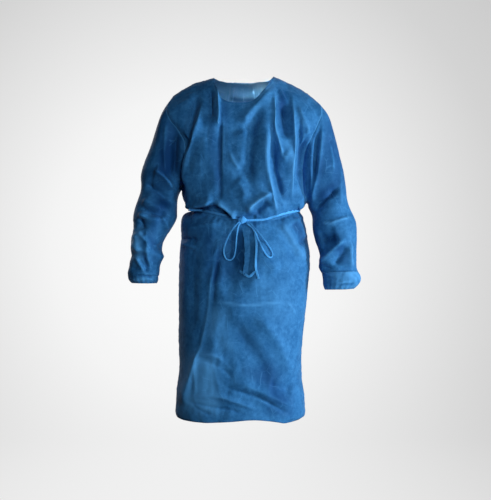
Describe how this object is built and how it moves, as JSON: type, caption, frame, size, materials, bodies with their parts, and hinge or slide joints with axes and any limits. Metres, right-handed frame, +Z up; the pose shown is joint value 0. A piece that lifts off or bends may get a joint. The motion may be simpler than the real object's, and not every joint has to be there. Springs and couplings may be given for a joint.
{
  "type": "visitor gown",
  "caption": "Disposable nonwoven visitor gown in its worn, hollow form, with long sleeves, gathered cuffs, a lapped open back and a waist tie bowed at the front.",
  "frame": {"origin": "centre of the neck opening, between the two side points of the neck where the wearer's shoulders hold the gown up", "axes": "+Z up along the garment's height, -Y to the front with the bow, +X to the wearer's left"},
  "size_m": [0.7742, 0.3053, 1.1408],
  "materials": {
    "cloth": "matt blue spunbonded nonwoven, thin, with a faint mottled grain and a dull sheen",
    "ties": "the same nonwoven cut as folded strips, a little paler"
  },
  "bodies": {
    "root": {"front": "cloth", "back_left": "cloth", "back_right": "cloth", "sleeve_left": "cloth", "sleeve_right": "cloth", "cuff_left": "cloth", "cuff_right": "cloth", "waist_tie_left": "ties", "waist_tie_right": "ties", "bow_knot": "ties", "bow_loop_long": "ties", "bow_loop_short": "ties", "bow_end_narrow": "ties", "bow_end_flat": "ties", "neck_knot": "ties", "neck_tie_left": "ties", "neck_tie_right": "ties"}
  },
  "joints": []
}
